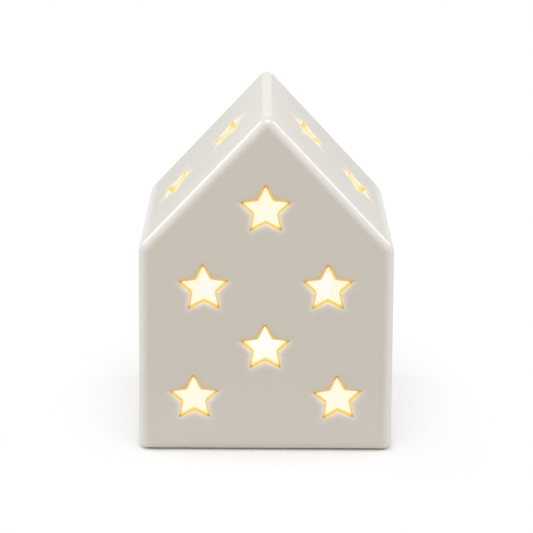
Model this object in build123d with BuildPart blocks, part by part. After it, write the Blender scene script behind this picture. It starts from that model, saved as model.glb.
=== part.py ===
from build123d import *
import math
import os

# A glazed ceramic house with star cut-outs, and the battery tealight that lights it from inside.
# Sizes are in millimetres. The house stands on z = 0 over the origin. Its gable front faces -Y,
# and the doorway for the tealight is in its back wall.

# House walls
base_width = 81.2
eaves_width = 78.8
house_depth = 63.0
eaves_height = 69.0
ridge_height = 111.4  # where the two roof faces would meet if the ridge were sharp
wall = 4.0
floor_thickness = 4.0
edge_round = 2.9
eaves_round = 5.5
room_round = 2.0

# Shallow hollow under the floor, which leaves a rim to stand on
foot_recess = 1.0
foot_rim = 6.0
foot_corner = 4.0

# Star cut-outs with sharp tips, and a rim that the glaze has rounded
star_radius = 7.35
star_waist = 3.63
star_waist_round = 0.9
star_rim_round = 0.75

# Places of the front stars: across in half eaves widths, up in ridge heights
front_star_shares = (
    (-0.008, 0.729),
    (-0.494, 0.4986),
    (0.487, 0.4996),
    (-0.006, 0.3195),
    (-0.576, 0.165),
    (0.581, 0.164),
)
front_star_turns = (0.5, 1.0, 0.5, 0.5, 1.0, 2.7)

# Places of the roof stars, left slope then right: down in slope lengths, back in half depths
roof_star_shares = (
    (-1, 0.309, -0.060),
    (-1, 0.733, -0.052),
    (1, 0.338, 0.045),
    (1, 0.743, 0.030),
)
roof_star_turns = (29.3, 51.6, 32.5, 50.3)

# Doorway, sized by the tealight that passes through it
door_side_room = 4.2
door_headroom = 12.0
door_corner = 1.5
door_rim_round = 1.0

# Tealight cup
candle_wall = 1.5
skirt_wall = 0.8
cup_slack = 1.9
rim_width = 2.2
rim_round = 0.8
dish_depth = 3.0
dish_sag_share = 0.3
top_thickness = 1.5
headroom = 2.6  # from the board up to the cup's top

# Base plate
base_recess = 1.2
plate_thickness = 1.8
plate_fit = 0.1

# Coin cell
cell_radius = 10.0
cell_height = 3.2
cell_cap_radius = 8.7
cell_cap_height = 0.5
cell_edge_round = 0.4
cell_fit = 0.4

# Battery well
well_wall = 1.0
well_roof = 1.0
well_rim = 0.8
spring_space = 0.9

# Bayonet cover
flange_thickness = 0.9
flange_lip = 1.4
cover_clearance = 0.1
cover_gap = 0.05
lug_reach = 0.7
lug_width = 4.0
lug_thickness = 0.8
lug_clearance = 0.3
release_angle = 30.0
coin_slot_length = 12.0
coin_slot_width = 1.8
coin_slot_depth = 0.5

# Slide switch
switch_length = 10.0
switch_depth = 3.6
switch_height = 3.6
switch_wall = 0.5
switch_gap = 0.6
switch_travel = 3.0
switch_clearance = 0.2
knob_length = 3.0
knob_width = 1.6
knob_reach = 0.6  # below the plate
carriage_height = 1.6
terminal_radius = 0.3
terminal_spread = 2.5
terminal_end = 0.5

# Circuit board
board_thickness = 1.0
board_margin = 0.4
tongue_width = 8.0
hole_clearance = 0.1

# Lamp
led_radius = 2.5
led_height = 8.6
led_flange_radius = 2.9
led_flange_height = 1.0
led_standoff = 1.6
led_clearance = 0.5
lead_radius = 0.25
lead_spread = 1.27
lead_end = 0.5

# Flame
flame_wall = 1.6
flame_fit = 0.15
flange_height = 1.2
flange_reach = 1.8
flame_crown = 15.0  # solid length over the lamp
flame_tip_round = 0.7
flame_belly_share = 0.62
flame_belly_height_share = 0.5

# Contact strips
strip_thickness = 0.3
strip_width = 4.0
strip_clearance = 0.3
strip_touch = 0.05
strip_bow = 0.7

cut_overrun = 1.0

# Heights in the tealight, from the house's floor up
floor_top = foot_recess + floor_thickness
plate_bottom = floor_top + base_recess
plate_top = plate_bottom + plate_thickness
lug_bottom = plate_top + cover_gap
cover_top = lug_bottom + lug_thickness
undercut_top = cover_top + lug_clearance
cell_top = cover_top + cell_height
roof_bottom = cell_top + spring_space
roof_top = roof_bottom + well_roof
board_bottom = roof_top + well_rim
board_top = board_bottom + board_thickness
led_bottom = board_top + led_standoff
led_top = led_bottom + led_height
top_under = board_top + headroom
dish_bottom = top_under + top_thickness
candle_top = dish_bottom + dish_depth
hollow_top = led_top + led_clearance
flame_top = hollow_top + flame_crown

# Radii and places across the tealight, which stands on the house's middle
cell_hole = cell_radius + cell_fit
plug_radius = cell_hole - cover_clearance
lug_radius = plug_radius + lug_reach
undercut_radius = lug_radius + lug_clearance
well_radius = undercut_radius + well_wall
flange_radius = cell_hole + flange_lip
well_y = -(switch_gap + switch_depth) / 2
switch_y = well_y + well_radius + switch_gap + switch_depth / 2
switch_far = switch_y + switch_depth / 2
cup_radius = math.hypot(switch_length / 2, switch_far) + cup_slack
candle_radius = cup_radius + candle_wall
plate_radius = candle_radius - skirt_wall - plate_fit
hollow_radius = led_flange_radius + led_clearance
neck_radius = hollow_radius + flame_wall
flame_hole = neck_radius + flame_fit

# The doorway's arch clears the flame
door_half = candle_radius + door_side_room
door_spring = flame_top + door_headroom - door_half

# The roof's slope
roof_run = eaves_width / 2
roof_rise = ridge_height - eaves_height


def half_width(height):
    """Half the house's width at a height: its side walls lean in a little towards the eaves."""
    lean = (base_width - eaves_width) / 2 / eaves_height
    return base_width / 2 - lean * height


def gable_outline(bottom):
    """The house's front outline, from a bottom height up to the ridge."""
    Polyline(
        (-half_width(bottom), bottom),
        (half_width(bottom), bottom),
        (half_width(eaves_height), eaves_height),
        (0, ridge_height),
        (-half_width(eaves_height), eaves_height),
        close=True,
    )


def star_sketch(plane, first_tip):
    """A five-pointed star about a plane's origin, with rounded inner corners."""
    corners = []
    for step in range(10):
        radius = star_waist if step % 2 else star_radius
        angle = math.radians(first_tip + 36 * step)
        corners.append((radius * math.cos(angle), radius * math.sin(angle)))
    with BuildSketch(plane) as star:
        with BuildLine():
            Polyline(*corners, close=True)
        make_face()
        fillet(star.vertices().sort_by_distance((0, 0, 0))[:5], radius=star_waist_round)
    return star.sketch


def front_star_plane(across, up):
    """The plane of a front star, facing the viewer."""
    centre = (across * eaves_width / 2, -house_depth / 2, up * ridge_height)
    return Plane(origin=centre, x_dir=(1, 0, 0), z_dir=(0, -1, 0))


def roof_star_plane(side, down, back):
    """The plane of a roof star, with X down the slope and the normal out of the roof."""
    centre = (side * down * roof_run, back * house_depth / 2, ridge_height - down * roof_rise)
    return Plane(origin=centre, x_dir=(side * roof_run, 0, -roof_rise), z_dir=(side * roof_rise, 0, roof_run))


def cut_stars(house, planes, first_tips):
    """Cuts stars through the wall and rounds their outer rims."""
    for plane, first_tip in zip(planes, first_tips):
        star = star_sketch(plane.offset(cut_overrun), first_tip)
        extrude(star, amount=-(wall + 2 * cut_overrun), mode=Mode.SUBTRACT)
    face = house.faces().filter_by(GeomType.PLANE).sort_by_distance(planes[0].origin)[0]
    rims = [edge for wire in face.inner_wires() for edge in wire.edges()]
    fillet(rims, radius=star_rim_round)


def cylinder_between(radius, bottom, top, centre=(0, 0), mode=Mode.ADD):
    """An upright round bar or bore from one height to another."""
    with Locations((*centre, bottom)):
        Cylinder(radius, top - bottom, align=(Align.CENTER, Align.CENTER, Align.MIN), mode=mode)


def block_between(length, depth, bottom, top, centre=(0, 0), mode=Mode.ADD):
    """An upright block or slot from one height to another."""
    with Locations((*centre, bottom)):
        Box(length, depth, top - bottom, align=(Align.CENTER, Align.CENTER, Align.MIN), mode=mode)


# The hollow of the house: its walls and roof one wall thickness in, over the floor
with BuildPart() as room:
    with BuildSketch(Plane.XZ):
        with BuildLine():
            gable_outline(-wall)
        make_face()
        offset(amount=-wall, kind=Kind.INTERSECTION)
    extrude(amount=house_depth / 2 - wall, both=True)
    split(bisect_by=Plane.XY.offset(floor_top), keep=Keep.TOP)
    fillet(room.edges(), radius=room_round)

with BuildPart() as house_shell:
    with BuildSketch(Plane.XZ):
        with BuildLine():
            gable_outline(0)
        make_face()
    extrude(amount=house_depth / 2, both=True)
    # The eaves are softer than the other edges, which the gable outlines and the foot and ridge make
    fillet(house_shell.edges().filter_by(Axis.Y).group_by(Axis.Z)[1], radius=eaves_round)
    outlines = [edge for gable in house_shell.faces().filter_by(Axis.Y) for edge in gable.edges()]
    lengthwise = house_shell.edges().filter_by(Axis.Y).group_by(Axis.Z)
    fillet(outlines + lengthwise[0] + lengthwise[-1], radius=edge_round)
    add(room.part, mode=Mode.SUBTRACT)
    # Foot recess
    with BuildSketch(Plane.XY):
        RectangleRounded(base_width - 2 * foot_rim, house_depth - 2 * foot_rim, foot_corner)
    extrude(amount=foot_recess, mode=Mode.SUBTRACT)
    # Arched doorway, its sill level with the floor
    with BuildSketch(Plane.XZ.offset(-(house_depth / 2 + cut_overrun))) as door:
        with BuildLine():
            Polyline(
                (-door_half, door_spring),
                (-door_half, floor_top),
                (door_half, floor_top),
                (door_half, door_spring),
            )
            CenterArc((0, door_spring), door_half, 0, 180)
        make_face()
        fillet(door.vertices().group_by(Axis.Y)[0], radius=door_corner)
    extrude(amount=wall + room_round + 2 * cut_overrun, mode=Mode.SUBTRACT)
    back_wall = house_shell.faces().filter_by(GeomType.PLANE).sort_by(Axis.Y)[-1]
    fillet([edge for wire in back_wall.inner_wires() for edge in wire.edges()], radius=door_rim_round)
    # Stars in the front, then in each roof slope
    front_tips = [90 + turn for turn in front_star_turns]
    cut_stars(house_shell, [front_star_plane(*place) for place in front_star_shares], front_tips)
    for side in (-1, 1):
        slope = [item for item in zip(roof_star_shares, roof_star_turns) if item[0][0] == side]
        slope_planes = [roof_star_plane(*place) for place, turn in slope]
        cut_stars(house_shell, slope_planes, [side * turn for place, turn in slope])

# Cup of the tealight, with a dished top like a pool of wax and a seat for the base plate
with BuildPart() as candle_body:
    with BuildSketch(Plane.XZ) as cup_profile:
        with BuildLine():
            dish_start = (candle_radius - rim_width, candle_top)
            dish_middle = ((dish_start[0] + flame_hole) / 2, dish_bottom + dish_sag_share * dish_depth)
            dish_end = (flame_hole, dish_bottom)
            Polyline(
                dish_end,
                (flame_hole, top_under),
                (cup_radius, top_under),
                (cup_radius, plate_top),
                (candle_radius - skirt_wall, plate_top),
                (candle_radius - skirt_wall, floor_top),
                (candle_radius, floor_top),
                (candle_radius, candle_top),
                dish_start,
            )
            ThreePointArc(dish_start, dish_middle, dish_end)
        make_face()
        fillet(cup_profile.vertices().group_by(Axis.Y)[-1], radius=rim_round)
    revolve(axis=Axis.Z)

# Flame: a hollow teardrop, held by a flange under the cup's top
with BuildPart() as flame_tip:
    with BuildSketch(Plane.XZ):
        with BuildLine():
            shoulder = (neck_radius, dish_bottom)
            belly_height = dish_bottom + flame_belly_height_share * (flame_top - dish_bottom)
            belly = (neck_radius * flame_belly_share + flame_tip_round, belly_height)
            tip = (flame_tip_round, flame_top - flame_tip_round)
            Polyline(
                (hollow_radius, top_under - flange_height),
                (neck_radius + flange_reach, top_under - flange_height),
                (neck_radius + flange_reach, top_under),
                (neck_radius, top_under),
                shoulder,
            )
            ThreePointArc(shoulder, belly, tip)
            RadiusArc(tip, (0, flame_top), -flame_tip_round)
            Line((0, flame_top), (0, hollow_top))
            CenterArc((0, led_top - led_radius), led_radius + led_clearance, 0, 90)
            Polyline(
                (led_radius + led_clearance, led_top - led_radius),
                (hollow_radius, led_bottom + led_flange_height),
                (hollow_radius, top_under - flange_height),
            )
        make_face()
    revolve(axis=Axis.Z)

with BuildPart() as led_lamp:
    cylinder_between(led_flange_radius, led_bottom, led_bottom + led_flange_height)
    cylinder_between(led_radius, led_bottom, led_top - led_radius)
    with Locations((0, 0, led_top - led_radius)):
        Sphere(led_radius)

with BuildPart() as led_leads:
    for side in (-1, 1):
        cylinder_between(lead_radius, board_bottom - lead_end, led_bottom, (side * lead_spread, 0))

with BuildPart() as circuit_board:
    cylinder_between(well_radius - board_margin, board_bottom, board_top, (0, well_y))
    tongue_end = switch_far - board_margin
    block_between(tongue_width, tongue_end - well_y, board_bottom, board_top, (0, (tongue_end + well_y) / 2))
    for side in (-1, 1):
        lead_place = (side * lead_spread, 0)
        cylinder_between(lead_radius + hole_clearance, board_bottom, board_top, lead_place, Mode.SUBTRACT)
        pin_place = (side * terminal_spread, switch_y)
        cylinder_between(terminal_radius + hole_clearance, board_bottom, board_top, pin_place, Mode.SUBTRACT)

with BuildPart() as coin_cell:
    cylinder_between(cell_radius, cover_top, cell_top - cell_cap_height, (0, well_y))
    fillet(coin_cell.edges(), radius=cell_edge_round)
    cylinder_between(cell_cap_radius, cell_top - cell_cap_height, cell_top, (0, well_y))

# Leaf spring: flat under the well's roof, bent down on to the cell, with a tab up to the board
with BuildPart() as negative_contact:
    with BuildSketch(Plane.XZ.offset(-well_y)):
        with BuildLine():
            tab_x = cell_cap_radius - strip_width / 2
            Polyline(
                (-strip_width / 2, cell_top + strip_touch),
                (0, cell_top + strip_touch),
                (strip_width / 2, roof_bottom - strip_thickness),
                (tab_x, roof_bottom - strip_thickness),
                (tab_x, board_bottom),
            )
            offset(amount=strip_thickness, side=Side.LEFT)
        make_face()
    extrude(amount=strip_width / 2, both=True)

# Side strip: stands in a pocket of the well and bows in against the cell's rim
with BuildPart() as positive_contact:
    rim_y = well_y - cell_radius - strip_touch
    with BuildSketch(Plane.YZ):
        with BuildLine():
            bow_middle = cover_top + (cell_height - cell_cap_height) / 2
            Polyline(
                (rim_y - strip_bow, bow_middle - strip_bow),
                (rim_y, bow_middle),
                (rim_y - strip_bow, bow_middle + strip_bow),
                (rim_y - strip_bow, board_bottom),
            )
            offset(amount=strip_thickness, side=Side.LEFT)
        make_face()
    extrude(amount=strip_width / 2, both=True)

# Base plate with the battery well, the cover's bayonet ledge and the switch slot
with BuildPart() as base_plate:
    well_centre = (0, well_y)
    cylinder_between(plate_radius, plate_bottom, plate_top)
    cylinder_between(well_radius, plate_top, board_bottom, well_centre)
    seat_top = plate_bottom + flange_thickness
    cylinder_between(flange_radius + cover_clearance, plate_bottom, seat_top, well_centre, Mode.SUBTRACT)
    cylinder_between(cell_hole, plate_bottom, roof_bottom, well_centre, Mode.SUBTRACT)
    cylinder_between(undercut_radius, plate_top, undercut_top, well_centre, Mode.SUBTRACT)
    cylinder_between(well_radius - well_wall, roof_top, board_bottom, well_centre, Mode.SUBTRACT)
    # Notches that let the cover's lugs in and out
    with BuildSketch(Plane.XY.offset(seat_top)):
        with Locations(Location((0, well_y), release_angle)):
            Rectangle(2 * undercut_radius, lug_width + 2 * lug_clearance)
        with Locations(well_centre):
            Circle(undercut_radius, mode=Mode.INTERSECT)
    extrude(amount=plate_top - seat_top, mode=Mode.SUBTRACT)
    # Slots for the two contacts
    slot_width = strip_width + 2 * strip_clearance
    slot_depth = strip_thickness + 2 * strip_clearance
    tab_place = (tab_x - strip_thickness / 2, well_y)
    block_between(slot_depth, slot_width, roof_bottom, roof_top, tab_place, Mode.SUBTRACT)
    pocket_out = rim_y - strip_bow - strip_thickness - strip_clearance
    pocket_depth = well_y - cell_cap_radius - pocket_out
    pocket_place = (0, pocket_out + pocket_depth / 2)
    block_between(slot_width, pocket_depth, undercut_top, board_bottom, pocket_place, Mode.SUBTRACT)
    # Slot for the switch knob
    knob_slot = knob_length + switch_travel + 2 * switch_clearance
    knob_slot_width = knob_width + 2 * switch_clearance
    block_between(knob_slot, knob_slot_width, plate_bottom, plate_top, (0, switch_y), Mode.SUBTRACT)

with BuildPart() as battery_cover:
    flange_top = plate_bottom + flange_thickness - cover_gap
    cylinder_between(flange_radius, plate_bottom, flange_top, (0, well_y))
    cylinder_between(plug_radius, flange_top, cover_top, (0, well_y))
    with BuildSketch(Plane.XY.offset(lug_bottom)):
        with Locations((0, well_y)):
            Rectangle(2 * lug_radius, lug_width)
            Circle(lug_radius, mode=Mode.INTERSECT)
    extrude(amount=lug_thickness)
    coin_slot_top = plate_bottom + coin_slot_depth
    with BuildSketch(Plane.XY.offset(plate_bottom)):
        with Locations((0, well_y)):
            SlotOverall(coin_slot_length, coin_slot_width)
    extrude(amount=coin_slot_top - plate_bottom, mode=Mode.SUBTRACT)

with BuildPart() as switch_housing:
    block_between(switch_length, switch_depth, plate_top, plate_top + switch_height, (0, switch_y))
    inner_length = switch_length - 2 * switch_wall
    inner_depth = switch_depth - 2 * switch_wall
    inner_top = plate_top + switch_height - switch_wall
    block_between(inner_length, inner_depth, plate_top, inner_top, (0, switch_y), Mode.SUBTRACT)

with BuildPart() as switch_terminals:
    for side in (-1, 1):
        place = (side * terminal_spread, switch_y)
        cylinder_between(terminal_radius, plate_top + switch_height, board_top + terminal_end, place)

# Knob at its on end, with the carriage that runs inside the housing
with BuildPart() as switch_knob:
    knob_place = (-switch_travel / 2, switch_y)
    carriage_length = inner_length - switch_travel - 2 * switch_clearance
    carriage_depth = inner_depth - 2 * switch_clearance
    carriage_bottom = plate_top + switch_clearance
    knob_bottom = plate_bottom - knob_reach
    block_between(knob_length, knob_width, knob_bottom, carriage_bottom, knob_place)
    carriage_top = carriage_bottom + carriage_height
    block_between(carriage_length, carriage_depth, carriage_bottom, carriage_top, knob_place)

pieces = {
    "house_shell": house_shell,
    "candle_body": candle_body,
    "flame_tip": flame_tip,
    "led_lamp": led_lamp,
    "led_leads": led_leads,
    "circuit_board": circuit_board,
    "coin_cell": coin_cell,
    "positive_contact": positive_contact,
    "negative_contact": negative_contact,
    "base_plate": base_plate,
    "battery_cover": battery_cover,
    "switch_housing": switch_housing,
    "switch_terminals": switch_terminals,
    "switch_knob": switch_knob,
}
os.makedirs("parts", exist_ok=True)
for name, piece in pieces.items():
    piece.part.label = name
    export_step(piece.part, f"parts/{name}.step")
print("tealight", 2 * candle_radius, "wide, flame top at", flame_top, "doorway", 2 * door_half, "wide")
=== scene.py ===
"""Dresses the tealight house: its glaze, the glow in its stars, its tealight and a plain white stage."""
import math
import bmesh
import bpy
from bpy.props import FloatProperty, FloatVectorProperty, PointerProperty
from mathutils import Matrix, Vector


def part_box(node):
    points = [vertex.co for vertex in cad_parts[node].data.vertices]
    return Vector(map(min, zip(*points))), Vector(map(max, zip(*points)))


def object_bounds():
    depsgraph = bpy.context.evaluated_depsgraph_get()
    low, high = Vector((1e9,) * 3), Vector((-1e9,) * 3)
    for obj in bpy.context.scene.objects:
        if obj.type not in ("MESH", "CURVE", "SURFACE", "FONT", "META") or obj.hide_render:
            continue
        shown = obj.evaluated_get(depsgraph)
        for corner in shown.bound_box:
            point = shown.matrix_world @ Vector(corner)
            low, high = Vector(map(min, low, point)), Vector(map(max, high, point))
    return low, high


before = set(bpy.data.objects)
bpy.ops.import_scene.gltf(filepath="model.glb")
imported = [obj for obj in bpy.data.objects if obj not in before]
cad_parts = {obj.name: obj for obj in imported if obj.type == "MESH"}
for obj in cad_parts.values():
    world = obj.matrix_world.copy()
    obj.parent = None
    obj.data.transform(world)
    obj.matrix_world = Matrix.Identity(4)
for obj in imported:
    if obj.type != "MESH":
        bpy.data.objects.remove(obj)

bl_info = {
    "name": "Tealight house",
    "version": (1, 0, 0),
    "blender": (4, 5, 0),
    "location": "3D View > Sidebar > Tealight house",
    "description": "Finishes the ceramic tealight house and its battery tealight, and sets the stage",
    "category": "Object",
}

cad_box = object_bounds()

# One millimetre in Blender's metres
MM = 0.001

# The house's outer planes in millimetres, as its solid has them
BASE_WIDTH = 81.2
EAVES_WIDTH = 78.8
HOUSE_DEPTH = 63.0
EAVES_HEIGHT = 69.0
RIDGE_HEIGHT = 111.4
WALL = 4.0
EDGE_ROUND = 2.9

# A star in millimetres: how far its tips and its inner corners are from its middle, and the round of its rim
STAR_RADIUS = 7.35
STAR_WAIST = 3.63
STAR_RIM = 0.75

# Places and turns of the stars as their solid has them: in the front, across in half eaves widths and
# up in ridge heights, and in the roof, by side, down in slope lengths and back in half depths
FRONT_STARS = (
    (-0.008, 0.729, 0.5),
    (-0.494, 0.4986, 1.0),
    (0.487, 0.4996, 0.5),
    (-0.006, 0.3195, 0.5),
    (-0.576, 0.165, 1.0),
    (0.581, 0.164, 2.7),
)
ROOF_STARS = (
    (-1, 0.309, -0.060, 29.3),
    (-1, 0.733, -0.052, 51.6),
    (1, 0.338, 0.045, 32.5),
    (1, 0.743, 0.030, 50.3),
)

# The light comes from a little over the flame's middle, by this share of the flame's height
LIGHT_OVER_MIDDLE = 0.05
FLAME_LOW, FLAME_HIGH = (Vector(corner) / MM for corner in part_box("flame_tip"))
LIGHT = FLAME_LOW.lerp(FLAME_HIGH, 0.5) + Vector((0, 0, LIGHT_OVER_MIDDLE * (FLAME_HIGH - FLAME_LOW).z))

# Distances in millimetres from the light between which the lit room turns from cream to amber
ROOM_NEAR, ROOM_FAR = 55.0, 100.0

# How thick and thin glaze differ from its middle colour
THICK_SHARE, THIN_SHARE = 0.9, 1.1

# How far in millimetres the painted halo reaches round a star, as glow that soaks through the glaze over it and a
# painted highlight under it, and the power by which it fades
HALO_REACH, HALO_FADE = 3.9, 3.0

# Depth in millimetres over which the glaze gives way to dark painted shade under the glow at a star's cut
CUT_BLEND = 0.06

# Heights in millimetres: the glaze ends over the foot between these two, and the walls are painted paler towards the
# floor, as if lit by light from it
FOOT_BARE, FOOT_GLAZED = 0.3, 0.7
FLOOR_LIGHT_TOP, FLOOR_LIGHT_END, FLOOR_LIGHT_SHARE = 30.0, 5.0, 0.2

# Widths in millimetres, on the walls' and the roof's side of an edge, over which their glaze patterns blend
EDGE_BLEND = (-2.0, 3.0)

# Roughness of the glaze, what its clouds add to it, roughness of bare clay, and weight and roughness of the clear coat
GLAZE_ROUGH, CLOUD_ROUGH, CLAY_ROUGH = 0.265, 0.03, 0.85
COAT_WEIGHT, COAT_ROUGH = 0.6, 0.07

# Index of refraction of each clear or coated material
GLAZE_IOR = 1.52
ABS_IOR = 1.53
POLYPROPYLENE_IOR = 1.49
EPOXY_IOR = 1.55

# The light pool behind the house: its middle in house depths, and its half width and half length in millimetres
POOL_BACK = 1.5
POOL_HALF = (48, 85)

# Half the floor's width in metres, its gap under the house in millimetres, and its level in reflections
FLOOR_HALF = 3
FLOOR_GAP = 0.05
FLOOR_REFLECTED = 0.86

# How white the floor is seen, from the house's outline to the end of its shadow
SHADOW_STOPS = ((0, 0), (0.02, 0.3), (0.05, 0.42), (0.1, 0.48), (0.21, 0.54), (0.42, 0.7), (0.62, 0.86), (1, 1))


def linear(hex_colour):
    """An sRGB hex colour as the linear red, green and blue that Blender works in."""
    channels = [int(hex_colour[i : i + 2], 16) / 255 for i in (1, 3, 5)]
    return Vector(c / 12.92 if c <= 0.04045 else ((c + 0.055) / 1.055) ** 2.4 for c in channels)


def colour(name, description, hex_colour):
    """A colour property with an sRGB default."""
    return FloatVectorProperty(
        name=name, description=description, subtype="COLOR", size=3, min=0, max=1, default=linear(hex_colour)
    )


def length(name, description, millimetres):
    """A length property with a default in millimetres."""
    return FloatProperty(
        name=name, description=description, subtype="DISTANCE", unit="LENGTH", min=0, default=millimetres * MM
    )


class HouseLook(bpy.types.PropertyGroup):
    """Colours and pattern sizes of the glazed house."""

    glaze: colour("Glaze", "Warm grey glaze on the walls and roof", "#C8C1B5")
    # Used for thin glaze with a painted highlight over the edges, and for painted light from the floor low on the walls
    thin_glaze_and_painted_light: colour("Thin glaze", "Paler glaze where it breaks over a rounded edge", "#DFDBD5")
    halo_over: colour("Halo over", "Glaze just over a star, warm with light that soaks through", "#D2B68E")
    # Painted highlight: glaze just under a star, and round the roof's stars, drawn pale as if catching the light
    painted_highlight_under: colour("Halo under", "Glaze just under a star, where it is thin and catches the light", "#F1E6D6")
    clay: colour("Clay", "Bare fired clay on the standing rim", "#CDBB9E")
    painted_cut_shade: colour("Lit clay", "Clay of the star cuts, under their glow", "#3A2408")
    # Painted shade: a dark colour for the cut's glazed walls, so that only the painted glow shows in them
    tip_glow: colour("Tip glow", "Dim amber light in the narrow tips of a star", "#CC8E14")
    rim_glow: colour("Rim glow", "Amber light on the rim of a star", "#FEC41E")
    wall_glow: colour("Wall glow", "Yellow light on the wall of a cut", "#FFDE7C")
    roof_rim: colour("Roof rim", "Pale light on the rims of the roof's stars", "#FFF9EC")
    roof_glow: colour("Roof glow", "Pale yellow light in the stars of the roof", "#FFEBA6")
    core_glow: colour("Core glow", "Cream light inside the house", "#FEF6E2")
    far_glow: colour("Far glow", "Amber light in the house's far corners", "#C89048")
    cloud: length("Cloud size", "Width of the soft clouds in the glaze", 30)
    streak: length("Streak width", "Width of the faint streaks that run down the roof", 9)
    ripple: length("Ripple size", "Width of the gentle waves in the glaze", 26)
    ripple_height: length("Ripple height", "Height of the gentle waves in the glaze", 0.02)
    peel: length("Peel size", "Width of the glaze's fine orange peel", 2.2)
    peel_height: length("Peel height", "Height of the glaze's fine orange peel", 0.0003)


class TealightLook(bpy.types.PropertyGroup):
    """Colours and pattern sizes of the battery tealight."""

    cup: colour("Cup", "Ivory ABS of the cup and its base plate", "#EFE9DC")
    cover: colour("Cover", "Ivory ABS of the battery cover", "#E6DFD0")
    dish_glow: colour("Dish glow", "Light that the flame throws on the cup's dish", "#FFE9BC")
    flame: colour("Flame", "Frosted flame, lit from inside", "#FFE9B0")
    flame_tip: colour("Flame tip", "The flame's thicker tip, which the light reaches last", "#FFB347")
    lamp: colour("Lamp", "Amber epoxy of the lamp", "#FFCF70")
    board: colour("Board", "Green solder mask", "#1E5A33")
    copper: colour("Copper", "Copper tracks under the solder mask", "#3B7A45")
    cell: colour("Cell", "Nickel-plated steel of the coin cell", "#C9C8C5")
    spring: colour("Spring", "Nickel-plated spring strip", "#C4C0B6")
    wire: colour("Wire", "Tinned copper wire", "#CFCFCB")
    knob: colour("Knob", "Black ABS of the switch knob", "#1B1B1C")
    grain: length("Moulded grain", "Grain of the spark-eroded mould", 0.6)
    abs_cloud: length("Cloud size", "Width of the faint clouds in the ivory ABS", 9)
    patch: length("Patch size", "Width of the dull patches on plated metal", 3)
    roll_line: length("Rolling line", "Width of the rolling lines on plated metal", 0.3)
    weave: length("Weave size", "Width of the board's glass weave", 0.7)
    track_length: length("Track length", "Length of a copper track", 5)
    track_pitch: length("Track pitch", "Distance between copper tracks", 2.4)
    track_width: length("Track width", "Width of a copper track", 0.28)


class StageLook(bpy.types.PropertyGroup):
    """The white stage, its lamps and the camera."""

    paper: colour("Paper", "White seamless paper", "#F4F4F4")
    pool: colour("Light pool", "Light from the doorway on the paper behind the house", "#FEFBEE")
    fibre: length("Fibre size", "Width of the paper's fibre clouds", 3)
    shadow_width: length("Shadow width", "How far the soft shadow reaches from the house", 45)
    fill: FloatProperty(name="Fill", description="Level of the light from all round", min=0, default=0.56)
    top_lamp: FloatProperty(name="Top lamp", description="Softbox overhead", unit="POWER", min=0, default=4.8)
    left_lamp: FloatProperty(name="Left lamp", description="Softbox on the left", unit="POWER", min=0, default=1.5)
    right_lamp: FloatProperty(name="Right lamp", description="Softbox on the right", unit="POWER", min=0, default=1.1)
    back_lamp: FloatProperty(name="Back lamp", description="Softbox behind", unit="POWER", min=0, default=0.12)
    camera_place: FloatVectorProperty(
        name="Camera place",
        description="Where the camera stands",
        subtype="TRANSLATION",
        unit="LENGTH",
        size=3,
        default=(-0.00192, -0.5016, 0.23535),
    )
    camera_down: FloatProperty(
        name="Camera down", description="How far the camera looks down", subtype="ANGLE", default=math.radians(20.114)
    )
    camera_right: FloatProperty(
        name="Camera right", description="How far the camera looks right", subtype="ANGLE", default=math.radians(0.239)
    )
    camera_roll: FloatProperty(
        name="Camera roll", description="Turn of the camera to the left", subtype="ANGLE", default=math.radians(0.377)
    )
    camera_field: FloatProperty(
        name="Camera field", description="Width of the view", subtype="ANGLE", default=math.radians(18.623)
    )


class SceneLook(bpy.types.PropertyGroup):
    """All looks of the tealight house."""

    house: PointerProperty(type=HouseLook)
    tealight: PointerProperty(type=TealightLook)
    stage: PointerProperty(type=StageLook)


def add_node(tree, kind, inputs=None, stops=(), **settings):
    """Adds a node with its settings and colour stops, and links or sets its inputs."""
    node = tree.nodes.new("ShaderNode" + kind)
    for name, value in settings.items():
        setattr(node, name, value)
    for key, value in (inputs or {}).items():
        socket = node.inputs[key]
        if isinstance(value, bpy.types.Node):
            value = next(output for output in value.outputs if output.enabled)
        if isinstance(value, bpy.types.NodeSocket):
            tree.links.new(value, socket)
        elif socket.type == "RGBA":
            socket.default_value = (*value, 1)
        else:
            socket.default_value = value
    for number, (position, rgb) in enumerate(stops):
        elements = node.color_ramp.elements
        element = elements[number] if number < len(elements) else elements.new(1)
        element.position = position
        element.color = (*rgb, 1)
    return node


def new_material(name):
    """An empty material, its node tree, and the place on the piece in millimetres."""
    material = bpy.data.materials.new(name)
    material.use_nodes = True
    tree = material.node_tree
    tree.nodes.clear()
    place = add_node(tree, "TexCoord").outputs["Object"]
    return material, tree, add_node(tree, "VectorMath", {0: place, "Scale": 1 / MM}, operation="SCALE")


def finish(material, shader, *nodes):
    """Ends a material in its shader and puts it on CAD nodes."""
    add_node(material.node_tree, "OutputMaterial", {"Surface": shader})
    for name in nodes:
        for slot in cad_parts[name].material_slots:
            slot.material = material


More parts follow.
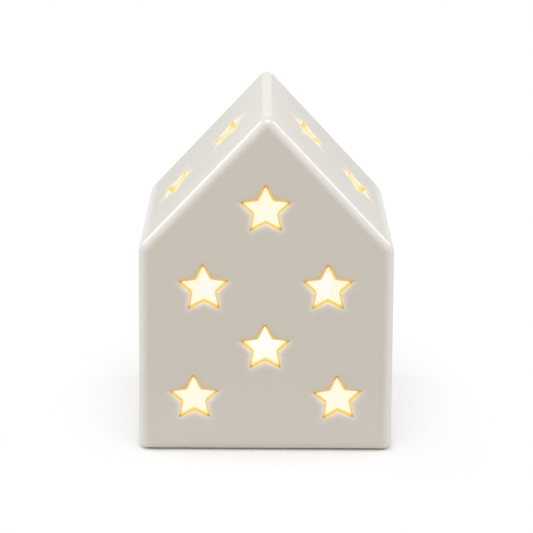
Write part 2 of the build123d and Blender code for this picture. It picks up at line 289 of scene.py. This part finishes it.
class GlazeHouse(bpy.types.Operator):
    """Glazes the house and lights its stars from inside"""

    bl_idname = "tealight_house.glaze_house"
    bl_label = "Glaze the house"

    def execute(self, context):
        look = context.scene.tealight_house.house
        # Glazed stoneware: slip-cast, dipped in a warm grey gloss glaze and fired. The glaze is smooth and
        # deep like glass, with soft clouds, gentle waves in its reflections and a paler line over each edge, where it
        # breaks thin and a highlight is painted in.
        material, tree, place = new_material("glazed_stoneware")
        split = add_node(tree, "SeparateXYZ", {0: place}).outputs
        height, back = split["Z"], split["Y"]
        walls, roof, nearest, second = self.depths(tree, place)
        # The cuts and the room lie under one plane only, over the foot and under the ridge
        clear = add_node(tree, "Math", {0: second, 1: 1.15 * EDGE_ROUND}, operation="GREATER_THAN")
        over_foot = add_node(tree, "Math", {0: height, 1: 1.2 * EDGE_ROUND}, operation="GREATER_THAN")
        under_ridge = add_node(tree, "Math", {0: height, 1: RIDGE_HEIGHT - 1.3 * WALL}, operation="LESS_THAN")
        depth = nearest
        for limit in (clear, over_foot, under_ridge):
            depth = add_node(tree, "Math", {0: depth, 1: limit}, operation="MULTIPLY")
        in_roof = add_node(tree, "Math", {0: walls, 1: roof}, operation="GREATER_THAN")
        star = self.nearest_star(tree, place)
        tipward, reach, edge, outward = self.star_outline(tree, star)
        # Along the surface into a star: below zero on the face, about zero on the rim, and more on the cut's wall
        inward = add_node(tree, "Math", {0: depth, 1: edge}, operation="SUBTRACT")
        # The light from inside shows from the rim's start over a star's middle, and from half way round it under it
        start = add_node(tree, "MapRange", {0: outward, 1: -0.4, 2: 0.4, 3: -0.25 * STAR_RIM, 4: -0.9 * STAR_RIM})
        start = add_node(tree, "Mix", {0: in_roof, 2: start, 3: -0.5 * STAR_RIM})
        # Far from the stars, as in the doorway, the light shows from some way into the wall
        rim_edge = add_node(tree, "Math", {0: edge, 1: 0.3 * WALL}, operation="MINIMUM")
        past = add_node(tree, "Math", {0: depth, 1: rim_edge}, operation="SUBTRACT")
        past = add_node(tree, "Math", {0: past, 1: start}, operation="SUBTRACT")
        glow = self.glow(tree, look, place, past, depth, reach, in_roof)
        # Glaze colour: faint clouds with a fine grain, faint streaks down the roof with painted shade towards its back,
        # walls painted paler towards the floor as if lit from it, paler edges of thin glaze with a painted highlight,
        # painted glow and highlight round the stars, painted shade in their cuts, and a bare clay foot
        clouds = add_node(
            tree, "TexNoise", {"Vector": place, "Scale": MM / look.cloud, "Detail": 7.0, "Roughness": 0.75}
        )
        drawn = add_node(tree, "VectorMath", {0: place, 1: (0.06, 1, 0.06)}, operation="MULTIPLY")
        streaks = add_node(tree, "TexNoise", {"Vector": drawn, "Scale": MM / look.streak, "Detail": 1.0})
        # Painted shade: the roof's glaze is drawn darker towards its back
        painted_back_shade = add_node(tree, "MapRange", {0: back, 1: -0.5 * HOUSE_DEPTH, 2: 0.5 * HOUSE_DEPTH, 3: 0.35, 4: -0.55})
        streaks = add_node(tree, "Math", {0: streaks, 1: 0.6, 2: painted_back_shade}, operation="MULTIPLY_ADD")
        clouds_part = add_node(tree, "Math", {0: clouds, 1: 0.08, 2: 0.46}, operation="MULTIPLY_ADD")
        on_roof = add_node(tree, "Math", {0: walls, 1: roof}, operation="SUBTRACT")
        on_roof = add_node(
            tree, "MapRange", {0: on_roof, 1: EDGE_BLEND[0], 2: EDGE_BLEND[1]}, interpolation_type="SMOOTHSTEP"
        )
        spread = add_node(tree, "Mix", {0: on_roof, 2: clouds_part, 3: streaks})
        thick, thin = THICK_SHARE * Vector(look.glaze), THIN_SHARE * Vector(look.glaze)
        glaze = add_node(tree, "Mix", {0: spread, 6: thick, 7: thin}, data_type="RGBA")
        # Thin glaze and a painted highlight: the glaze is drawn paler over each edge and a little onto the flat faces
        # beside it
        thin_edge_and_highlight = add_node(
            tree, "MapRange", {0: second, 1: 1.25 * EDGE_ROUND, 2: 0.2 * EDGE_ROUND}, interpolation_type="SMOOTHSTEP"
        )
        # Painted halo round each star: warm glow soaking through the glaze over it, a painted highlight under it
        over = add_node(tree, "Math", {0: outward, 1: 6.0, 2: tipward}, operation="MULTIPLY_ADD")
        over = add_node(tree, "MapRange", {0: over, 1: -2.0, 2: 3.5}, interpolation_type="SMOOTHSTEP")
        halo = add_node(tree, "Mix", {0: over, 6: look.painted_highlight_under, 7: look.halo_over}, data_type="RGBA")
        halo = add_node(tree, "Mix", {0: in_roof, 6: halo, 7: look.painted_highlight_under}, data_type="RGBA")
        painted_halo_share = add_node(tree, "MapRange", {0: inward, 1: -HALO_REACH, 2: -0.9 * STAR_RIM})
        painted_halo_share = add_node(tree, "Math", {0: painted_halo_share, 1: HALO_FADE}, operation="POWER")
        past_tip = add_node(tree, "MapRange", {0: reach, 1: 0.7 * STAR_RADIUS, 2: 1.1 * STAR_RADIUS, 3: 1.0, 4: 0.4})
        painted_halo_share = add_node(tree, "Math", {0: painted_halo_share, 1: past_tip}, operation="MULTIPLY")
        # Painted shade in the cut, under its glow
        in_cut = add_node(tree, "MapRange", {0: past, 1: 0.0, 2: CUT_BLEND}, interpolation_type="SMOOTHSTEP")
        on_foot = add_node(tree, "MapRange", {0: height, 1: FOOT_GLAZED, 2: FOOT_BARE}, interpolation_type="SMOOTHSTEP")
        # Painted light: the walls are drawn paler towards the floor, as if lit from it
        low = add_node(tree, "MapRange", {0: height, 1: FLOOR_LIGHT_TOP, 2: FLOOR_LIGHT_END, 3: 0.0, 4: FLOOR_LIGHT_SHARE})
        for part, tint in (
            (low, look.thin_glaze_and_painted_light),
            (thin_edge_and_highlight, look.thin_glaze_and_painted_light),
            (painted_halo_share, halo),
            (in_cut, look.painted_cut_shade),
            (on_foot, look.clay),
        ):
            glaze = add_node(tree, "Mix", {0: part, 6: glaze, 7: tint}, data_type="RGBA")
        rough = add_node(tree, "Math", {0: clouds, 1: CLOUD_ROUGH, 2: GLAZE_ROUGH}, operation="MULTIPLY_ADD")
        for bare in (in_cut, on_foot):
            rough = add_node(tree, "Mix", {0: bare, 2: rough, 3: CLAY_ROUGH})
        coat = add_node(tree, "MapRange", {0: in_cut, 3: COAT_WEIGHT, 4: 0.0})
        # Gentle waves, and a fine orange peel that is drawn coarser than the real one so that it shows
        waves = add_node(tree, "TexNoise", {"Vector": place, "Scale": MM / look.ripple, "Detail": 0.0})
        bump = add_node(tree, "Bump", {"Height": waves, "Distance": look.ripple_height})
        peel = add_node(tree, "TexNoise", {"Vector": place, "Scale": MM / look.peel, "Detail": 1.0})
        bump = add_node(tree, "Bump", {"Height": peel, "Distance": look.peel_height, "Normal": bump})
        shader = add_node(
            tree,
            "BsdfPrincipled",
            {
                "Base Color": glaze,
                "Roughness": rough,
                "IOR": GLAZE_IOR,
                "Normal": bump,
                "Coat Weight": coat,
                "Coat Roughness": COAT_ROUGH,
                "Coat Normal": bump,
                "Emission Color": glow,
                "Emission Strength": 1.0,
            },
        )
        finish(material, shader, "house_shell")
        return {"FINISHED"}

    @staticmethod
    def depths(tree, place):
        """Depths in millimetres under the walls, under the roof, and under the nearest and second nearest plane."""
        folded = add_node(tree, "VectorMath", {0: place}, operation="ABSOLUTE")
        lean = (BASE_WIDTH - EAVES_WIDTH) / 2 / EAVES_HEIGHT
        rise = RIDGE_HEIGHT - EAVES_HEIGHT
        depths = []
        for normal, reach in (
            (Vector((0, 1, 0)), HOUSE_DEPTH / 2),
            (Vector((1, 0, lean)), BASE_WIDTH / 2),
            (Vector((rise, 0, EAVES_WIDTH / 2)), EAVES_WIDTH / 2 * RIDGE_HEIGHT),
        ):
            along = add_node(tree, "VectorMath", {0: folded, 1: normal.normalized()}, operation="DOT_PRODUCT")
            depths.append(add_node(tree, "Math", {0: reach / normal.length, 1: along}, operation="SUBTRACT"))
        gable, side, roof = depths
        walls = add_node(tree, "Math", {0: gable, 1: side}, operation="MINIMUM")
        upper = add_node(tree, "Math", {0: gable, 1: side}, operation="MAXIMUM")
        nearest = add_node(tree, "Math", {0: walls, 1: roof}, operation="MINIMUM")
        upper = add_node(tree, "Math", {0: upper, 1: roof}, operation="MINIMUM")
        second = add_node(tree, "Math", {0: walls, 1: upper}, operation="MAXIMUM")
        return walls, roof, nearest, second

    @staticmethod
    def star_frames():
        """Each star's middle and turn: X to its first tip, Z out of the wall."""
        run, rise = EAVES_WIDTH / 2, RIDGE_HEIGHT - EAVES_HEIGHT
        for across, up, turn in FRONT_STARS:
            middle = Vector((across * run, -HOUSE_DEPTH / 2, up * RIDGE_HEIGHT))
            yield middle, Vector((1, 0, 0)), Vector((0, -1, 0)), math.radians(90 + turn)
        for side, down, back, turn in ROOF_STARS:
            middle = Vector((side * down * run, back * HOUSE_DEPTH / 2, RIDGE_HEIGHT - down * rise))
            slope, out = Vector((side * run, 0, -rise)), Vector((side * rise, 0, run))
            yield middle, slope.normalized(), out.normalized(), math.radians(side * turn)

    def nearest_star(self, tree, place):
        """The place as the nearest star sees it, in millimetres."""
        nearest = least = None
        for middle, right, out, turn in self.star_frames():
            tip = Matrix.Rotation(turn, 3, out) @ right
            frame_turn = Matrix((tip, out.cross(tip), out)).transposed().to_euler()
            local = add_node(
                tree, "Mapping", {0: place, "Location": middle, "Rotation": frame_turn}, vector_type="TEXTURE"
            )
            away = add_node(tree, "VectorMath", {0: local}, operation="LENGTH")
            if nearest is None:
                nearest, least = local, away
                continue
            nearer = add_node(tree, "Math", {0: away, 1: least}, operation="LESS_THAN")
            nearest = add_node(tree, "Mix", {0: nearer, 4: nearest, 5: local}, data_type="VECTOR")
            least = add_node(tree, "Math", {0: away, 1: least}, operation="MINIMUM")
        return nearest

    @staticmethod
    def star_outline(tree, star):
        """Towards the first tip, distance from the middle, distance outside the outline, and its way out to the tip."""
        flat = add_node(tree, "VectorMath", {0: star, 1: (1, 1, 0)}, operation="MULTIPLY")
        reach = add_node(tree, "VectorMath", {0: flat}, operation="LENGTH")
        split = add_node(tree, "SeparateXYZ", {0: flat}).outputs
        fifth = math.tau / 5
        turn = add_node(tree, "Math", {0: split["Y"], 1: split["X"]}, operation="ARCTAN2")
        half_tip = math.atan2(
            STAR_WAIST * math.sin(fifth / 2), STAR_RADIUS - STAR_WAIST * math.cos(fifth / 2)
        )
        # Each of the ten edges looks out at an angle from the nearest tip's direction, on the place's side of it
        tip = add_node(tree, "Math", {0: turn, 1: fifth / 2}, operation="ADD")
        tip = add_node(tree, "Math", {0: tip, 1: fifth}, operation="SNAP")
        side = add_node(tree, "Math", {0: turn, 1: tip}, operation="SUBTRACT")
        side = add_node(tree, "Math", {0: side}, operation="SIGN")
        outward = add_node(tree, "Math", {0: side, 1: math.pi / 2 - half_tip, 2: tip}, operation="MULTIPLY_ADD")
        outward = add_node(tree, "Math", {0: outward}, operation="COSINE")
        angle = add_node(tree, "Math", {0: turn, 1: fifth / 2}, operation="PINGPONG")
        angle = add_node(tree, "Math", {0: angle, 1: half_tip}, operation="ADD")
        edge = add_node(tree, "Math", {0: angle}, operation="SINE")
        edge = add_node(
            tree, "Math", {0: edge, 1: reach, 2: -STAR_RADIUS * math.sin(half_tip)}, operation="MULTIPLY_ADD"
        )
        # Beyond a tip the outline's distance is the one from the tip itself
        beyond = add_node(tree, "Math", {0: reach, 1: STAR_RADIUS + 0.1 * STAR_RIM}, operation="SUBTRACT")
        edge = add_node(tree, "Math", {0: edge, 1: beyond}, operation="MAXIMUM")
        # A star is in its own wall only, so nothing behind that wall is near its outline
        through = add_node(tree, "SeparateXYZ", {0: star}).outputs["Z"]
        behind = add_node(tree, "Math", {0: through, 1: -1.5 * WALL}, operation="LESS_THAN")
        edge = add_node(tree, "Math", {0: behind, 1: HOUSE_DEPTH, 2: edge}, operation="MULTIPLY_ADD")
        return split["X"], reach, edge, outward

    @staticmethod
    def glow(tree, look, place, past, depth, reach, in_roof):
        """Light in the house: amber on a star's rim, dim in its tips, cream deeper in, and amber again far away."""
        tip, rim, wall, core = (Vector(c) for c in (look.tip_glow, look.rim_glow, look.wall_glow, look.core_glow))
        dark = (0, Vector((0, 0, 0)))
        share = add_node(tree, "Math", {0: past, 1: WALL}, operation="DIVIDE")
        front_stops = (dark, (0.015, 0.9 * rim), (0.08, rim), (0.22, rim.lerp(wall, 0.4)), (0.42, wall), (0.65, core))
        roof_stops = (dark, (0.015, look.roof_rim), (0.09, look.roof_rim), (0.2, look.roof_glow), (0.8, core))
        tip_stops = (dark, (0.015, tip), (0.15, tip), (0.35, rim), (0.7, core))
        arm_stops = (dark, (0.015, rim.lerp(wall, 0.4)), (0.5, rim.lerp(wall, 0.7)), (0.8, core))
        lit = []
        for stops, end_stops, start, end in (
            (front_stops, tip_stops, 0.88 * STAR_RADIUS, 1.06 * STAR_RADIUS),
            (roof_stops, arm_stops, 0.6 * STAR_RADIUS, STAR_RADIUS),
        ):
            body = add_node(tree, "ValToRGB", {0: share}, stops)
            ends = add_node(tree, "ValToRGB", {0: share}, end_stops)
            in_tip = add_node(tree, "MapRange", {0: reach, 1: start, 2: end}, interpolation_type="SMOOTHSTEP")
            lit.append(add_node(tree, "Mix", {0: in_tip, 6: body, 7: ends}, data_type="RGBA"))
        cut_glow = add_node(tree, "Mix", {0: in_roof, 6: lit[0], 7: lit[1]}, data_type="RGBA")
        away = add_node(tree, "VectorMath", {0: place, 1: LIGHT}, operation="DISTANCE")
        away = add_node(tree, "MapRange", {0: away, 1: ROOM_NEAR, 2: ROOM_FAR}, interpolation_type="SMOOTHSTEP")
        room_glow = add_node(tree, "Mix", {0: away, 6: core, 7: look.far_glow}, data_type="RGBA")
        in_room = add_node(
            tree, "MapRange", {0: depth, 1: 0.85 * WALL, 2: 0.98 * WALL}, interpolation_type="SMOOTHSTEP"
        )
        return add_node(tree, "Mix", {0: in_room, 6: cut_glow, 7: room_glow}, data_type="RGBA")


class FinishCup(bpy.types.Operator):
    """Finishes the tealight's cup, base plate and battery cover"""

    bl_idname = "tealight_house.finish_cup"
    bl_label = "Finish the cup"

    def execute(self, context):
        look = context.scene.tealight_house.tealight
        # Ivory ABS, moulded with a satin grain. The flame's light soaks into the dish round it.
        for name, tint, lit, nodes in (
            ("moulded_ivory_abs", look.cup, look.dish_glow, ("candle_body", "base_plate")),
            ("moulded_cover_abs", look.cover, (0, 0, 0), ("battery_cover",)),
        ):
            material, tree, place = new_material(name)
            lit = Vector(lit)
            clouds = add_node(tree, "TexNoise", {"Vector": place, "Scale": MM / look.abs_cloud})
            spread = add_node(tree, "MapRange", {0: clouds, 1: 0.3, 2: 0.7}, interpolation_type="SMOOTHSTEP")
            abs_colour = add_node(tree, "Mix", {0: spread, 6: 0.94 * Vector(tint), 7: tint}, data_type="RGBA")
            away = add_node(tree, "VectorMath", {0: place, 1: LIGHT}, operation="DISTANCE")
            away = add_node(tree, "MapRange", {0: away, 1: 6.0, 2: 30.0}, interpolation_type="SMOOTHSTEP")
            amber = lit * Vector((0.55, 0.36, 0.16))
            stops = ((0, lit), (0.45, 0.8 * lit), (0.8, amber), (1, 0.06 * amber))
            glow = add_node(tree, "ValToRGB", {0: away}, stops)
            grain = add_node(tree, "TexNoise", {"Vector": place, "Scale": MM / look.grain})
            rough = add_node(tree, "Math", {0: grain, 1: 0.14, 2: 0.36}, operation="MULTIPLY_ADD")
            bump = add_node(tree, "Bump", {"Height": grain, "Distance": 0.012 * MM})
            shader = add_node(
                tree,
                "BsdfPrincipled",
                {
                    "Base Color": abs_colour,
                    "Roughness": rough,
                    "IOR": ABS_IOR,
                    "Normal": bump,
                    "Subsurface Weight": 0.15,
                    "Subsurface Scale": 1.5 * MM,
                    "Emission Color": glow,
                    "Emission Strength": 0.8,
                },
            )
            finish(material, shader, *nodes)
        return {"FINISHED"}


class FinishFlame(bpy.types.Operator):
    """Finishes the flame and the lamp inside it"""

    bl_idname = "tealight_house.finish_flame"
    bl_label = "Finish the flame and lamp"

    def execute(self, context):
        look = context.scene.tealight_house.tealight
        flame, tip, lamp = Vector(look.flame), Vector(look.flame_tip), Vector(look.lamp)
        # Frosted polypropylene, moulded over the lamp. It glows cream low down and amber at its solid tip.
        # Cast epoxy of a lamp: clear amber, with the chip's light strongest in its dome.
        for name, node, tint, speck, rough_low, rough_more, ior, stops in (
            (
                "frosted_polypropylene",
                "flame_tip",
                flame,
                0.8,
                0.4,
                0.2,
                POLYPROPYLENE_IOR,
                ((0.1, flame), (0.55, flame.lerp(Vector((1, 1, 1)), 0.5)), (0.8, flame), (1, tip)),
            ),
            (
                "cast_amber_epoxy",
                "led_lamp",
                lamp,
                1.5,
                0.06,
                0.08,
                EPOXY_IOR,
                ((0, 0.4 * lamp), (0.5, lamp), (1, lamp.lerp(Vector((1, 1, 1)), 0.6))),
            ),
        ):
            material, tree, place = new_material(name)
            low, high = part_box(node)
            height = add_node(tree, "SeparateXYZ", {0: place}).outputs["Z"]
            up = add_node(tree, "MapRange", {0: height, 1: low[2] / MM, 2: high[2] / MM})
            glow = add_node(tree, "ValToRGB", {0: up}, stops)
            frost = add_node(tree, "TexNoise", {"Vector": place, "Scale": 1 / speck})
            body = add_node(tree, "Mix", {0: frost, 6: 0.88 * tint, 7: tint}, data_type="RGBA")
            rough = add_node(tree, "Math", {0: frost, 1: rough_more, 2: rough_low}, operation="MULTIPLY_ADD")
            bump = add_node(tree, "Bump", {"Height": frost, "Distance": 0.1 * rough_more * MM})
            shader = add_node(
                tree,
                "BsdfPrincipled",
                {
                    "Base Color": body,
                    "Roughness": rough,
                    "IOR": ior,
                    "Normal": bump,
                    "Emission Color": glow,
                    "Emission Strength": 1.0,
                },
            )
            finish(material, shader, node)
        return {"FINISHED"}


class FinishMetal(bpy.types.Operator):
    """Finishes the coin cell, the contacts, the wires and the switch's case"""

    bl_idname = "tealight_house.finish_metal"
    bl_label = "Finish the metal pieces"

    def execute(self, context):
        look = context.scene.tealight_house.tealight
        # Nickel and tin plate on pressed steel and wire: bright, with fine rolling lines and dull patches
        low, high = (Vector(corner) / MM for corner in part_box("coin_cell"))
        for name, tint, roughness, nodes in (
            ("nickel_plated_steel", look.cell, 0.19, ("coin_cell",)),
            ("nickel_plated_spring_strip", look.spring, 0.25, ("positive_contact", "negative_contact")),
            ("tinned_copper_wire", look.wire, 0.23, ("led_leads", "switch_terminals")),
            ("tinned_steel_plate", look.wire, 0.31, ("switch_housing",)),
        ):
            material, tree, place = new_material(name)
            patches = add_node(tree, "TexNoise", {"Vector": place, "Scale": MM / look.patch, "Detail": 3.0})
            plate = add_node(tree, "Mix", {0: patches, 6: 0.88 * Vector(tint), 7: tint}, data_type="RGBA")
            if "coin_cell" in nodes:
                # Turning rings on the cell's flat faces, drawn about 1 mm apart so that they show
                centred = add_node(tree, "VectorMath", {0: place, 1: (low + high) / 2}, operation="SUBTRACT")
                rings = {"Vector": centred, "Scale": 0.9, "Distortion": 0.4}
                lines = add_node(tree, "TexWave", rings, wave_type="RINGS", rings_direction="Z").outputs["Fac"]
            else:
                # Rolling lines, drawn wider than real ones so that they show
                stretched = add_node(tree, "VectorMath", {0: place, 1: (0.15, 1, 1)}, operation="MULTIPLY")
                lines = add_node(tree, "TexNoise", {"Vector": stretched, "Scale": MM / look.roll_line})
            rough = add_node(tree, "Math", {0: lines, 1: 0.14, 2: roughness}, operation="MULTIPLY_ADD")
            bump = add_node(tree, "Bump", {"Height": lines, "Distance": 0.003 * MM})
            shader = add_node(
                tree, "BsdfPrincipled", {"Base Color": plate, "Metallic": 1.0, "Roughness": rough, "Normal": bump}
            )
            finish(material, shader, *nodes)
        return {"FINISHED"}


class FinishBoard(bpy.types.Operator):
    """Finishes the circuit board"""

    bl_idname = "tealight_house.finish_board"
    bl_label = "Finish the circuit board"

    def execute(self, context):
        look = context.scene.tealight_house.tealight
        # Glass-fibre board under green solder mask, with paler tracks where copper runs under the mask
        material, tree, place = new_material("green_solder_mask_board")
        sizes = {
            "Vector": place,
            "Scale": 1.0,
            "Brick Width": look.track_length / MM,
            "Row Height": look.track_pitch / MM,
            "Mortar Size": look.track_width / MM,
        }
        tracks = add_node(tree, "TexBrick", sizes).outputs["Fac"]
        weave = add_node(tree, "TexNoise", {"Vector": place, "Scale": MM / look.weave})
        mask = add_node(tree, "Mix", {0: weave, 6: 0.85 * Vector(look.board), 7: look.board}, data_type="RGBA")
        board = add_node(tree, "Mix", {0: tracks, 6: mask, 7: look.copper}, data_type="RGBA")
        rough = add_node(tree, "Math", {0: weave, 1: 0.1, 2: 0.28}, operation="MULTIPLY_ADD")
        bump = add_node(tree, "Bump", {"Height": tracks, "Distance": 0.03 * MM})
        shader = add_node(
            tree, "BsdfPrincipled", {"Base Color": board, "Roughness": rough, "IOR": EPOXY_IOR, "Normal": bump}
        )
        finish(material, shader, "circuit_board")
        return {"FINISHED"}


class FinishKnob(bpy.types.Operator):
    """Finishes the switch knob"""

    bl_idname = "tealight_house.finish_knob"
    bl_label = "Finish the switch knob"

    def execute(self, context):
        look = context.scene.tealight_house.tealight
        # Black ABS, moulded with a fine grain that a finger has polished a little
        material, tree, place = new_material("moulded_black_abs")
        grain = add_node(tree, "TexNoise", {"Vector": place, "Scale": MM / look.grain})
        worn = add_node(tree, "Mix", {0: grain, 6: look.knob, 7: 1.6 * Vector(look.knob)}, data_type="RGBA")
        rough = add_node(tree, "Math", {0: grain, 1: 0.2, 2: 0.38}, operation="MULTIPLY_ADD")
        bump = add_node(tree, "Bump", {"Height": grain, "Distance": 0.015 * MM})
        shader = add_node(
            tree, "BsdfPrincipled", {"Base Color": worn, "Roughness": rough, "IOR": ABS_IOR, "Normal": bump}
        )
        finish(material, shader, "switch_knob")
        return {"FINISHED"}


class SetStage(bpy.types.Operator):
    """Lays the floor and sets the lamps, the world and the camera"""

    bl_idname = "tealight_house.set_stage"
    bl_label = "Set the stage"

    def execute(self, context):
        look = context.scene.tealight_house.stage
        scene = context.scene
        scene.view_settings.view_transform = "Standard"
        self.lay_floor(scene, look)
        self.light_world(scene, look)
        self.set_lamps(scene, look)
        self.set_camera(scene, look)
        return {"FINISHED"}

    @staticmethod
    def seen_directly(tree):
        """1 where the camera, a mirror or a clear piece looks at the stage, and 0 for light on its way."""
        path = add_node(tree, "LightPath").outputs
        seen = add_node(tree, "Math", {0: path["Is Camera Ray"], 1: path["Is Glossy Ray"]}, operation="MAXIMUM")
        return add_node(tree, "Math", {0: seen, 1: path["Is Transmission Ray"]}, operation="MAXIMUM")

    def lay_floor(self, scene, look):
        """White paper: matt, with hardly seen fibres. It keeps the shadow near the house and is white further out."""
        material, tree, place = new_material("white_seamless_paper")
        fibres = add_node(tree, "TexNoise", {"Vector": place, "Scale": MM / look.fibre})
        paper = add_node(tree, "Mix", {0: fibres, 6: 0.985 * Vector(look.paper), 7: look.paper}, data_type="RGBA")
        lit = add_node(
            tree, "BsdfPrincipled", {"Base Color": paper, "Roughness": 0.9, "Specular IOR Level": 0.1}
        )
        # White to the camera, and a little less in reflections, as lit paper is, with a painted pool of warm light
        # behind the doorway
        seen = add_node(tree, "LightPath").outputs["Is Camera Ray"]
        level = add_node(tree, "MapRange", {0: seen, 3: FLOOR_REFLECTED, 4: 1.0})
        pool = add_node(tree, "VectorMath", {0: place, 1: (0, POOL_BACK * HOUSE_DEPTH, 0)}, operation="SUBTRACT")
        pool = add_node(tree, "VectorMath", {0: pool, 1: (1 / POOL_HALF[0], 1 / POOL_HALF[1], 0)}, operation="MULTIPLY")
        pool = add_node(tree, "VectorMath", {0: pool}, operation="LENGTH")
        pool = add_node(tree, "MapRange", {0: pool, 1: 1.0, 2: 0.4}, interpolation_type="SMOOTHSTEP")
        tint = add_node(tree, "Mix", {0: pool, 6: (1, 1, 1), 7: look.pool}, data_type="RGBA")
        white = add_node(tree, "Emission", {"Color": tint, "Strength": level})
        foot = (cad_box[1][0] / MM, cad_box[1][1] / MM, RIDGE_HEIGHT)
        outside = add_node(tree, "VectorMath", {0: place}, operation="ABSOLUTE")
        outside = add_node(tree, "VectorMath", {0: outside, 1: foot}, operation="SUBTRACT")
        outside = add_node(tree, "VectorMath", {0: outside, 1: (0, 0, 0)}, operation="MAXIMUM")
        away = add_node(tree, "VectorMath", {0: outside}, operation="LENGTH")
        away = add_node(tree, "Math", {0: away, 1: look.shadow_width / MM}, operation="DIVIDE")
        stops = [(at, (grey, grey, grey)) for at, grey in SHADOW_STOPS]
        whitened = add_node(tree, "ValToRGB", {0: away}, stops)
        part = add_node(tree, "Math", {0: self.seen_directly(tree), 1: whitened}, operation="MULTIPLY")
        finish(material, add_node(tree, "MixShader", {0: part, 1: lit, 2: white}))
        shape = bmesh.new()
        bmesh.ops.create_grid(shape, x_segments=1, y_segments=1, size=FLOOR_HALF)
        bmesh.ops.translate(shape, verts=shape.verts, vec=(0, 0, cad_box[0][2] - FLOOR_GAP * MM))
        mesh = bpy.data.meshes.new("paper_floor")
        shape.to_mesh(mesh)
        shape.free()
        mesh.materials.append(material)
        floor = bpy.data.objects.new("paper_floor", mesh)
        scene.collection.objects.link(floor)

    def light_world(self, scene, look):
        """The world is white where it is seen, and lights the object at the fill level."""
        world = bpy.data.worlds.new("white_studio")
        scene.world = world
        world.use_nodes = True
        tree = world.node_tree
        tree.nodes.clear()
        fill = add_node(tree, "Background", {"Color": (1, 1, 1), "Strength": look.fill})
        white = add_node(tree, "Background", {"Color": (1, 1, 1), "Strength": 1.0})
        blend = add_node(tree, "MixShader", {0: self.seen_directly(tree), 1: fill, 2: white})
        add_node(tree, "OutputWorld", {"Surface": blend})

    @staticmethod
    def set_lamps(scene, look):
        """Softboxes overhead, on each side and behind, aimed at the house's middle."""
        middle = (Vector(cad_box[0]) + Vector(cad_box[1])) / 2
        for name, place, size, power in (
            ("top_softbox", (0, -0.33, 0.88), (0.8, 0.7), look.top_lamp),
            ("left_softbox", (-0.74, 0.2, 0.46), (0.35, 0.35), look.left_lamp),
            ("right_softbox", (0.74, 0.2, 0.46), (0.35, 0.35), look.right_lamp),
            ("back_softbox", (0, 0.95, 0.32), (0.45, 0.25), look.back_lamp),
        ):
            data = bpy.data.lights.new(name, "AREA")
            data.shape = "RECTANGLE"
            data.size, data.size_y = size
            data.energy = power
            lamp = bpy.data.objects.new(name, data)
            lamp.location = place
            lamp.rotation_euler = (middle - Vector(place)).to_track_quat("-Z", "Y").to_euler()
            lamp.visible_camera = False
            scene.collection.objects.link(lamp)

    @staticmethod
    def set_camera(scene, look):
        """The camera stands in front and above, and looks down at the gable."""
        down, aside, roll = look.camera_down, look.camera_right, look.camera_roll
        ahead = Vector((math.sin(aside) * math.cos(down), math.cos(aside) * math.cos(down), -math.sin(down)))
        right = ahead.cross(Vector((0, 0, 1))).normalized()
        over = right.cross(ahead)
        tilted_right = math.cos(roll) * right + math.sin(roll) * over
        tilted_over = math.cos(roll) * over - math.sin(roll) * right
        data = bpy.data.cameras.new("camera")
        data.lens = data.sensor_width / 2 / math.tan(look.camera_field / 2)
        data.clip_start = 10 * MM
        camera = bpy.data.objects.new("camera", data)
        turn = Matrix((tilted_right, tilted_over, -ahead)).transposed().to_4x4()
        camera.matrix_world = Matrix.Translation(look.camera_place) @ turn
        scene.collection.objects.link(camera)
        scene.camera = camera


class TealightHousePanel(bpy.types.Panel):
    """Lists the steps and looks of the tealight house"""

    bl_idname = "VIEW3D_PT_tealight_house"
    bl_label = "Tealight house"
    bl_space_type = "VIEW_3D"
    bl_region_type = "UI"
    bl_category = "Tealight house"

    def draw(self, context):
        layout = self.layout
        for step in STEPS:
            layout.operator(step.bl_idname)
        looks = context.scene.tealight_house
        for group in (looks.house, looks.tealight, looks.stage):
            box = layout.box()
            for name in group.bl_rna.properties.keys():
                if name not in ("rna_type", "name"):
                    box.prop(group, name)


STEPS = (GlazeHouse, FinishCup, FinishFlame, FinishMetal, FinishBoard, FinishKnob, SetStage)
CLASSES = (HouseLook, TealightLook, StageLook, SceneLook, *STEPS, TealightHousePanel)


def register():
    for cls in CLASSES:
        bpy.utils.register_class(cls)
    bpy.types.Scene.tealight_house = PointerProperty(type=SceneLook)


def unregister():
    del bpy.types.Scene.tealight_house
    for cls in reversed(CLASSES):
        bpy.utils.unregister_class(cls)


def main():
    """Registers the add-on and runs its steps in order."""
    register()
    bpy.ops.tealight_house.glaze_house()
    bpy.ops.tealight_house.finish_cup()
    bpy.ops.tealight_house.finish_flame()
    bpy.ops.tealight_house.finish_metal()
    bpy.ops.tealight_house.finish_board()
    bpy.ops.tealight_house.finish_knob()
    bpy.ops.tealight_house.set_stage()


if __name__ == "__main__":
    main()
